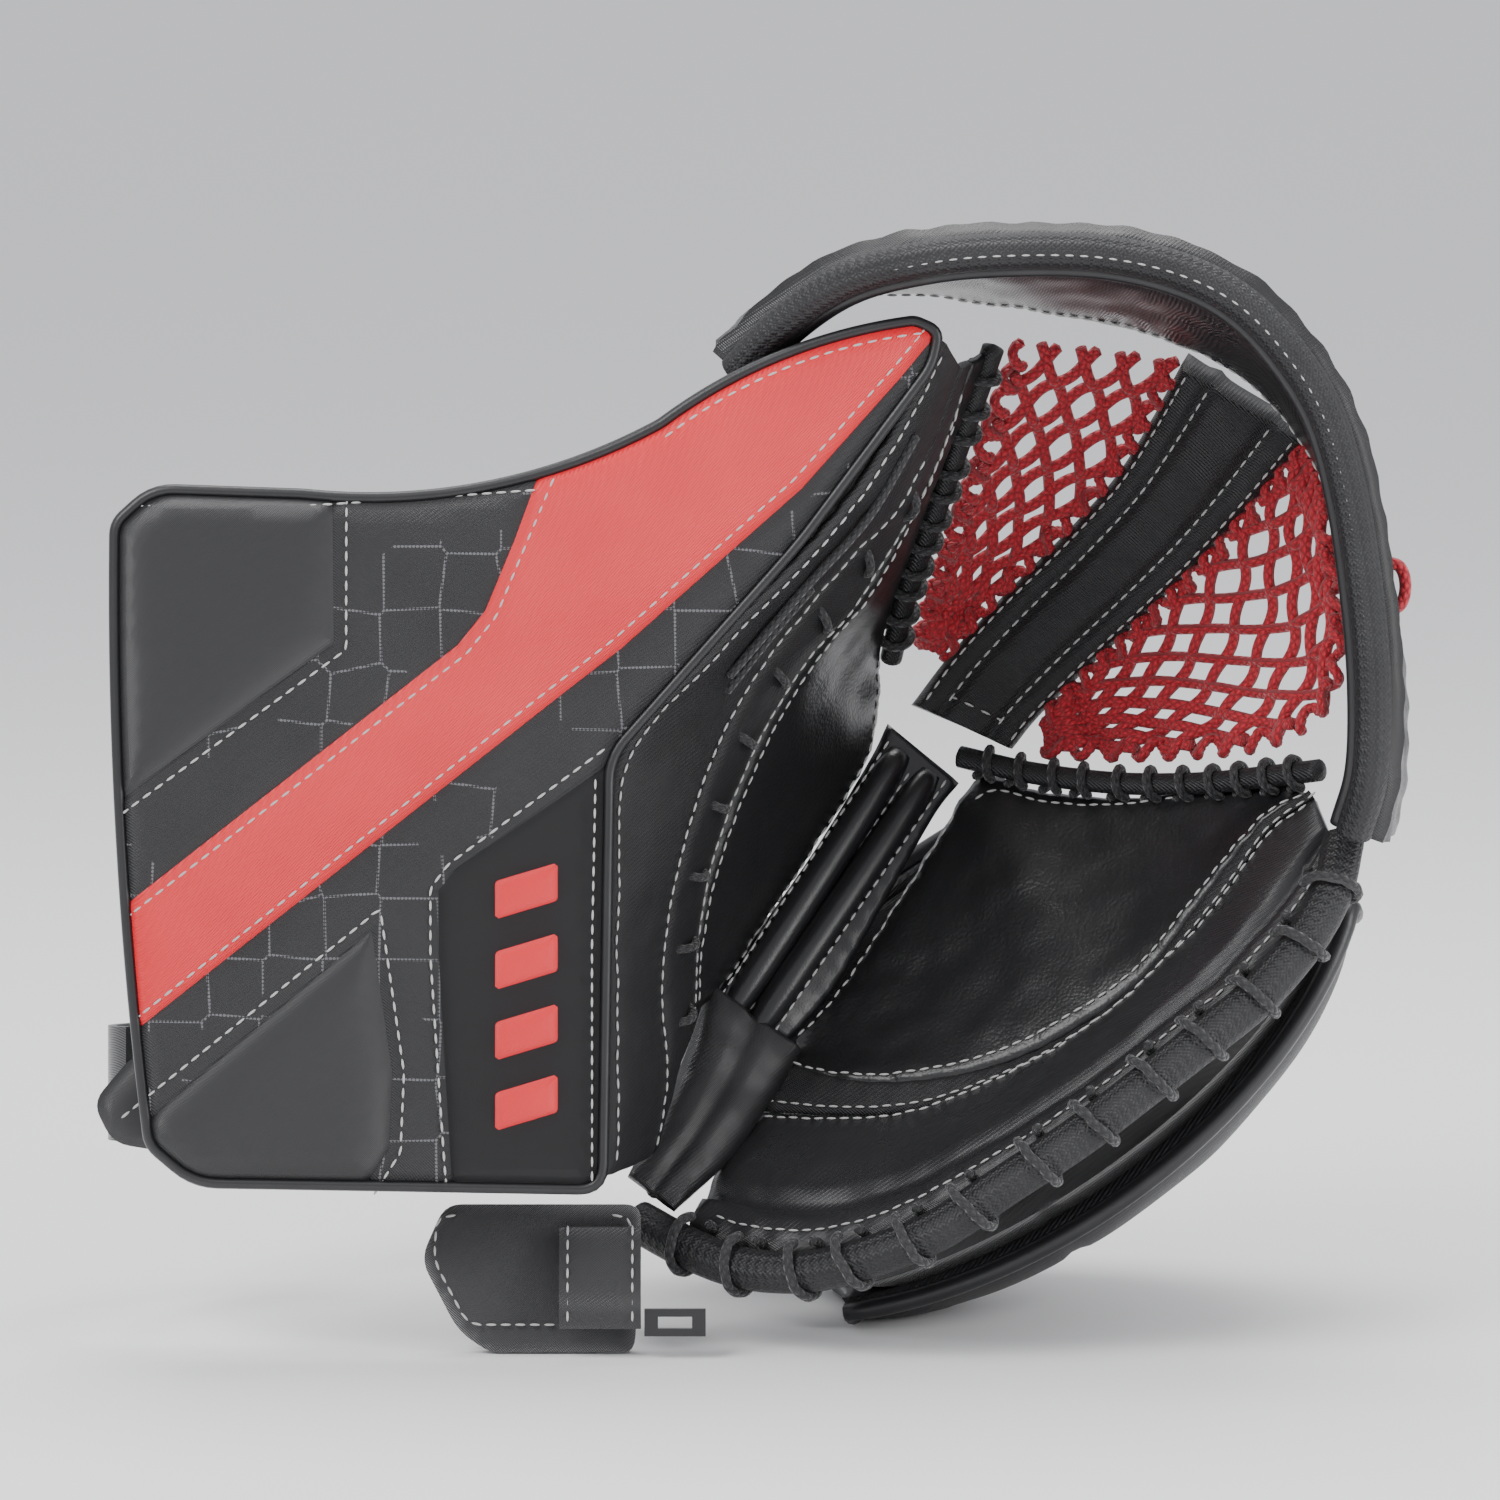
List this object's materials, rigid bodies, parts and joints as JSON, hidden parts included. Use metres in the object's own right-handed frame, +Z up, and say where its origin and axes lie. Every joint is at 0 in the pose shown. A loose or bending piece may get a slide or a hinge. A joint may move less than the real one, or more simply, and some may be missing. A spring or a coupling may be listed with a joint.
{
  "type": "goalie catch glove",
  "caption": "Ice hockey goalie catch glove with flat cuff board, folding palm, laced net pocket behind a padded rim, and rounded backhand pad.",
  "frame": {"origin": "middle of the bounding box's footprint, on the surface the glove stands on", "axes": "+X from the cuff towards the finger side, -Y the way the pocket opens, +Z up"},
  "size_m": [0.3884, 0.1752, 0.3318],
  "materials": {
    "twill_black": "matt diagonal twill",
    "stripe_red": "satin diagonal twill",
    "leather_black": "grained, low sheen",
    "binding_black": "coarse basket weave",
    "lace_black": "braided cord",
    "lace_red": "braided cord",
    "foam_grey": "closed-cell foam",
    "plate_black": "moulded",
    "lining_grey": "brushed knit",
    "webbing_black": "smooth synthetic with stitching"
  },
  "bodies": {
    "finger_side": {"palm_leather": "leather_black", "palm_foam": "foam_grey", "palm_liner": "lining_grey", "palm_welt": "leather_black", "finger_facing": "twill_black", "finger_binding": "binding_black", "finger_lacing": "lace_black", "finger_roll": "binding_black", "palm_top_binding": "binding_black", "palm_top_lacing": "lace_black", "break_roll_finger": "leather_black", "heel_neck": "leather_black", "backhand_cover": "twill_black", "backhand_foam": "foam_grey", "backhand_shell": "plate_black", "backhand_lining": "lining_grey", "index_stall": "lining_grey", "middle_stall": "lining_grey", "ring_stall": "lining_grey", "little_stall": "lining_grey", "hand_strap": "lining_grey", "heel_flap": "twill_black", "wrist_guard": "twill_black", "rim_finger": "twill_black", "rim_binding_finger": "binding_black", "net_finger": "lace_red"},
    "thumb_side": {"cuff_cover": "twill_black", "cuff_front_foam": "foam_grey", "cuff_stiffener": "plate_black", "cuff_back_foam": "foam_grey", "cuff_lining": "twill_black", "cuff_gusset": "twill_black", "cuff_piping": "binding_black", "thumb_stripe": "stripe_red", "upper_patch": "twill_black", "lower_patch": "twill_black", "crest_panel": "twill_black", "thumb_facing": "twill_black", "thumb_welt": "twill_black", "thumb_palm": "leather_black", "thumb_binding": "binding_black", "thumb_lacing": "lace_black", "thumb_guard": "twill_black", "thumb_stall": "lining_grey", "break_roll_thumb": "leather_black", "rim_thumb": "twill_black", "rim_binding_thumb": "binding_black", "net_thumb": "lace_red"},
    "t_trap": {"t_face": "twill_black", "t_core": "foam_grey", "t_back": "twill_black", "rim_crown": "twill_black", "rim_binding_crown": "binding_black"},
    "wrist_closure": {"wrist_strap": "webbing_black"},
    "heel_closure": {"heel_strap": "webbing_black", "heel_hook": "plate_black"}
  },
  "joints": [
    {"name": "glove_break", "type": "hinge", "parent": "finger_side", "child": "thumb_side", "pos_m": [-0.0342, -0.01302, 0.04481], "axis": [0.5306, 0.4363, 0.7267], "range_deg": [0, 26], "stiffness_Nm_per_rad": 14, "deforming": ["rim_thumb", "rim_crown", "rim_finger", "rim_binding_thumb", "rim_binding_crown", "rim_binding_finger", "net_thumb", "net_finger"]},
    {"name": "trap_fold", "type": "hinge", "parent": "finger_side", "child": "t_trap", "pos_m": [-0.0342, -0.01302, 0.04481], "axis": [0.5306, 0.4363, 0.7267], "range_deg": [0, 13], "stiffness_Nm_per_rad": 2, "deforming": ["rim_thumb", "rim_crown", "rim_finger", "rim_binding_thumb", "rim_binding_crown", "rim_binding_finger", "net_thumb", "net_finger"]},
    {"name": "wrist_strap_opens", "type": "hinge", "parent": "finger_side", "child": "wrist_closure", "pos_m": [-0.1852, -0.03487, 0.07616], "axis": [0, 0.1392, 0.9903], "range_deg": [0, 50]},
    {"name": "heel_strap_swings", "type": "hinge", "parent": "finger_side", "child": "heel_closure", "pos_m": [-0.0452, -0.06236, 0.03862], "axis": [-1, 0, 0], "range_deg": [0, 30]}
  ],
  "couplings": [
    {"joint": "trap_fold", "follows": "glove_break", "ratio": 0.5}
  ]
}
